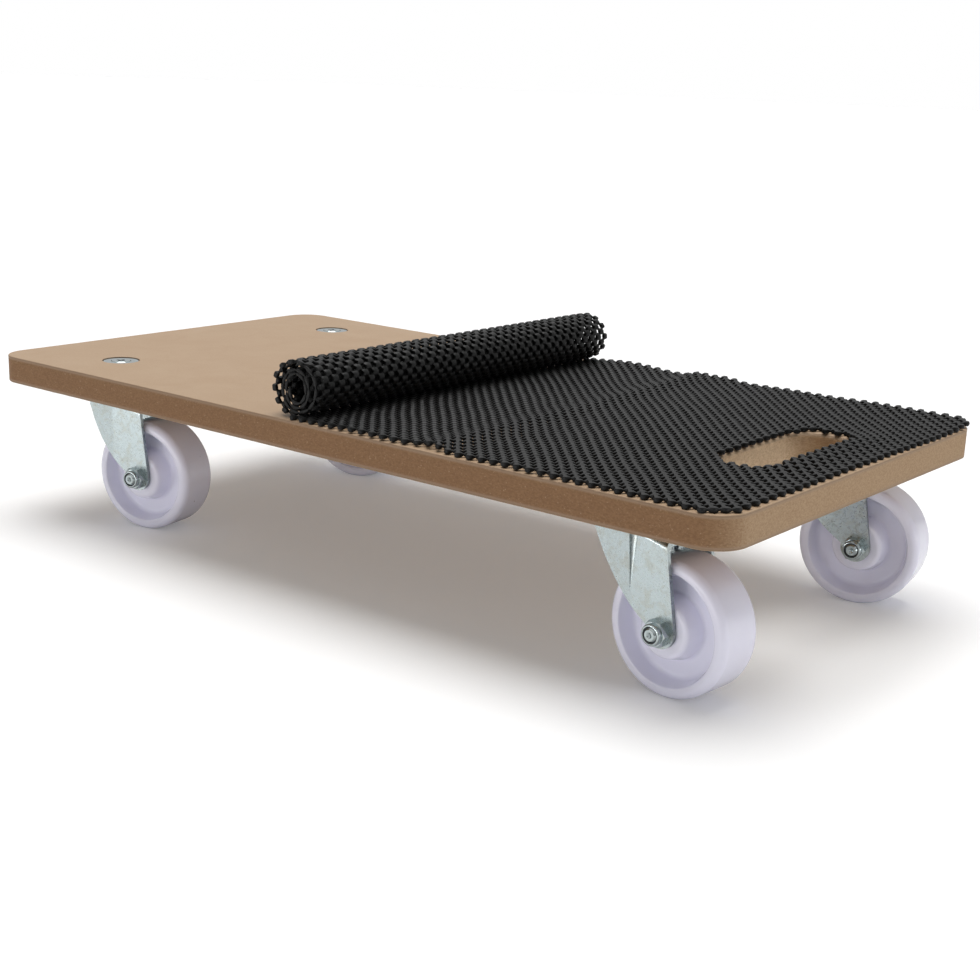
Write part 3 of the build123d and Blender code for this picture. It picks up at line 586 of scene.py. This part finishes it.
def ground(x, y):
    """How far the mat stands off the deck: the crease, low waves, slack along its far edge and towards the
    roll, and a lip beside the slot."""
    share = y / (MAT_WIDTH / 2)
    height = CREASE_HEIGHT + CREASE_AT_ENDS * share ** 2 + CREASE_TO_FAR * share
    off = (x - CREASE_X + CREASE_SKEW * y) / CREASE_HALF
    crease = height * np.clip(1 - np.sqrt(off ** 2 + CREASE_BLUNT), 0, None) ** CREASE_FLARE
    far_edge = ramp(y, FAR_EDGE_FROM, FAR_EDGE_WIDTH) ** 2
    slack = SLACK_HEIGHT * far_edge * bell(x, SLACK_X, SLACK_HALF)
    puff = PUFF_HEIGHT * far_edge * bell(x, PUFF_X, PUFF_HALF)
    curl = CURL_HEIGHT * far_edge * ramp(x, CURL_X, CURL_LENGTH)
    lip = LIP_HEIGHT * bell(x, LIP_X, LIP_HALF) * np.exp(-(y / LIP_HALF_WIDTH) ** 4)
    wave = WAVE_HEIGHT * (1 + np.sin(x / WAVE_LENGTH + WAVE_BEND * np.sin(y / WAVE_BEND_LENGTH))) / 2
    calm = ramp(x, WAVE_FROM, WAVE_FADE_IN) * ramp(-x, -WAVE_TO, WAVE_FADE_OUT)
    return crease + slack + puff + curl + lip + wave * calm


# It lies slightly askew, is pulled a little towards the near side and the slot end, and its near edge
# is tucked in at the crease
LAY_SKEW = 0.008
END_PULL, END_PULL_FROM, END_PULL_OVER = 2.0 * MM, 264 * MM, 20 * MM
NEAR_PULL = 1.018
TUCK_DEPTH, TUCK_X, TUCK_HALF = 4.0 * MM, 100 * MM, 14 * MM
SLOPE_STEP = 0.2 * MM
x, y, z = points(mat).T
x = x + ROLL_X + MAT_LENGTH / 2 + LAY_SKEW * y
x = x + END_PULL * ramp(x, END_PULL_FROM, END_PULL_OVER)
tuck = TUCK_DEPTH * bell(x, TUCK_X, TUCK_HALF) * ramp(-y, 0, MAT_WIDTH / 2) ** 6
y = np.where(y < 0, NEAR_PULL * y, y) + tuck
lift = ground(x, y)
tilt_x = (ground(x + SLOPE_STEP, y) - lift) / SLOPE_STEP
tilt_y = (ground(x, y + SLOPE_STEP) - lift) / SLOPE_STEP
set_points(mat, np.stack([x - z * tilt_x, y - z * tilt_y, DECK_TOP + NET_THICKNESS / 2 + lift + z], 1))
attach(mat, "mat")
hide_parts("grip_mat")

# Half turns of the roll, from outside in: how far each bulges, and the height at which it ends
HALF_TURNS = (
    (17.8 * MM, 33.6 * MM), (16.2 * MM, 3.9 * MM), (11.0 * MM, 28.9 * MM), (10.4 * MM, 6.5 * MM),
    (8.2 * MM, 26.7 * MM), (7.9 * MM, 9.0 * MM), (5.3 * MM, 24.3 * MM),
)


def roll_path():
    """Points down the middle of the wound sheet, from under the roll inwards, with their run."""
    half_turn = np.linspace(0, math.pi, 60, endpoint=False)
    turns = []
    low = NET_THICKNESS / 2
    side = -1
    for bulge, end in HALF_TURNS:
        middle, tall = (low + end) / 2, (end - low) / 2
        turns.append(np.stack([side * bulge * np.sin(half_turn), middle - tall * np.cos(half_turn)], 1))
        low = end
        side = -side
    path = np.concatenate(turns)
    steps = np.hypot(*np.diff(path, axis=0).T)
    return path, np.concatenate([[0], np.cumsum(steps)])


path, run = roll_path()
ROLL_ROWS = int(run[-1] / (2 * ROW_PITCH))
ROLL_LENGTH = 2 * ROLL_ROWS * ROW_PITCH
RING_FROM = 60 * MM
roll = flat_net("grip_mat_rolled", net, {
    **net_sizes, "Rows": ROLL_ROWS, "Outline Middle": (0, 0, 0),
    "Outline Half": (ROLL_LENGTH, MAT_WIDTH / 2 - MM, 1), "Outline Corner": 0.0,
    "Slot Middle": (0, 0, 1), "Slot Half": (0, 0, 0), "Slot Corner": 0.0,
    "Ring From": RING_FROM - ROLL_LENGTH / 2, "Wander": 2.0 * MM})
bpy.data.objects.remove(knot)

# What sticks out past the roll's ends is pressed nearly flush
ROLL_END, PRESSED_TO = MAT_WIDTH / 2 - 1.8 * MM, 0.25
TURN_STEP = 0.5 * MM
x, y, z = points(roll).T
flush = np.clip(y, -ROLL_END, ROLL_END)
y = flush + PRESSED_TO * (y - flush)
along = np.clip(x + ROLL_LENGTH / 2, 0, run[-1])
middle, ahead, behind = (
    np.stack([np.interp(along + step, run, path[:, i]) for i in (0, 1)])
    for step in (0, TURN_STEP, -TURN_STEP))
turn = ahead - behind
turn /= np.linalg.norm(turn, axis=0)
set_points(roll, np.stack([
    ROLL_X + middle[0] + z * turn[1], y, DECK_TOP + middle[1] - z * turn[0]], 1))

# Winding runs against +X, which mirrors the sheet, so its faces are turned outwards again
roll.data.flip_normals()
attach(roll, "mat")
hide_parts("grip_mat_roll")


# Studio: a pale floor that throws light back up, a broad soft light high up behind the roll, a low card
# beyond the slot end, and a long low card in front, below the deck's top. The camera stands where the
# photograph was taken.

FLOOR_GLOW = 0.14
SKY_SOFT = 0.26
SKY_MIRRORED_LOW, SKY_MIRRORED_HIGH = 0.4, 1.0
SKY_BRIGHT_WAY = (-0.1, 0.1, 0.99)


def floor_paint():
    """Matt white; the camera sees a little glow in it, so that it meets the white background."""
    material, tree, shader, coords = new_material("white_floor_paint")
    haze = add(tree, "ShaderNodeTexNoise", {}, {"Vector": coords.outputs["Object"], "Scale": 0.7})
    tone = add(tree, "ShaderNodeMix", {"data_type": "RGBA"}, {
        "Factor": haze.outputs["Fac"], 6: linear("#f2f2f2"), 7: linear("#f5f5f5")})
    tree.links.new(tone.outputs[2], shader.inputs["Base Color"])
    shader.inputs["Roughness"].default_value = 0.9
    shader.inputs["Specular IOR Level"].default_value = 0.1
    seen = add(tree, "ShaderNodeLightPath")
    glow = add(tree, "ShaderNodeMath", {"operation": "MULTIPLY"}, {
        0: seen.outputs["Is Camera Ray"], 1: FLOOR_GLOW})
    shader.inputs["Emission Color"].default_value = (1, 1, 1, 1)
    tree.links.new(glow.outputs[0], shader.inputs["Emission Strength"])
    return material


bpy.ops.mesh.primitive_plane_add(size=60)
floor = bpy.context.object
floor.name = "studio_floor"
floor.data.materials.append(floor_paint())

# White to the eye, dim as a light, and in mirroring metal brighter towards the top
world = bpy.data.worlds.new("studio")
world.use_nodes = True
bpy.context.scene.world = world
sky = world.node_tree
background = sky.nodes["Background"]
rays = add(sky, "ShaderNodeLightPath")
facing = add(sky, "ShaderNodeVectorMath", {"operation": "DOT_PRODUCT"}, {
    0: add(sky, "ShaderNodeTexCoord").outputs["Generated"], 1: SKY_BRIGHT_WAY})
mirror_level = add(sky, "ShaderNodeMapRange", {"interpolation_type": "SMOOTHSTEP"}, {
    "Value": facing.outputs["Value"], "From Min": 0.0, "From Max": 0.9,
    "To Min": SKY_MIRRORED_LOW, "To Max": SKY_MIRRORED_HIGH})
soft_level = add(sky, "ShaderNodeMix", {"data_type": "FLOAT"}, {
    "Factor": rays.outputs["Is Glossy Ray"], 2: SKY_SOFT, 3: mirror_level.outputs[0]})
direct = add(sky, "ShaderNodeMath", {"operation": "MAXIMUM"}, {
    0: rays.outputs["Is Camera Ray"], 1: rays.outputs["Is Transmission Ray"]})
level = add(sky, "ShaderNodeMix", {"data_type": "FLOAT"}, {
    "Factor": direct.outputs[0], 2: soft_level.outputs[0], 3: 1.0})
background.inputs["Color"].default_value = (1, 1, 1, 1)
sky.links.new(level.outputs[0], background.inputs["Strength"])


def hang(light, place, towards):
    """Puts a light in the scene at a place, shining one way."""
    stand = bpy.data.objects.new(light.name, light)
    stand.location = place
    stand.rotation_euler = Vector(towards).to_track_quat("-Z", "Y").to_euler()
    bpy.context.scene.collection.objects.link(stand)


key = bpy.data.lights.new("high_soft_light", "SUN")
key.energy = 2.5
key.angle = math.radians(50)
hang(key, (0, 0, 0), (0.12, -0.10, -1.0))

# Cards: name, width and height, strength, place, and the way each shines
cards = (
    ("low_card", (1.2, 0.2), 2.6, (1.3, 0.25, 0.12), (-1.0, -0.1, -0.04)),
    ("front_card", (1.6, 0.1), 6.1, (-0.4, -1.8, 0.055), (0.15, 1.0, 0.0)),
)
for name, size, strength, place, towards in cards:
    card = bpy.data.lights.new(name, "AREA")
    card.shape = "RECTANGLE"
    card.size, card.size_y = size
    card.energy = strength
    hang(card, place, towards)

camera = bpy.data.cameras.new("camera")
camera.lens = 57.0
camera.sensor_width = 36.0
camera_stand = bpy.data.objects.new("camera", camera)
azimuth, elevation, roll_angle = (math.radians(a) for a in (38.31, 14.896, 2.045))
back = Vector((math.sin(azimuth) * math.cos(elevation), -math.cos(azimuth) * math.cos(elevation),
               math.sin(elevation)))
camera_stand.location = (0.63436, -0.76549, 0.30786)
camera_stand.rotation_mode = "QUATERNION"
camera_stand.rotation_quaternion = (-back).to_track_quat("-Z", "Y") @ Quaternion((0, 0, 1), roll_angle)
bpy.context.scene.collection.objects.link(camera_stand)
bpy.context.scene.camera = camera_stand
bpy.context.scene.view_settings.view_transform = "Standard"
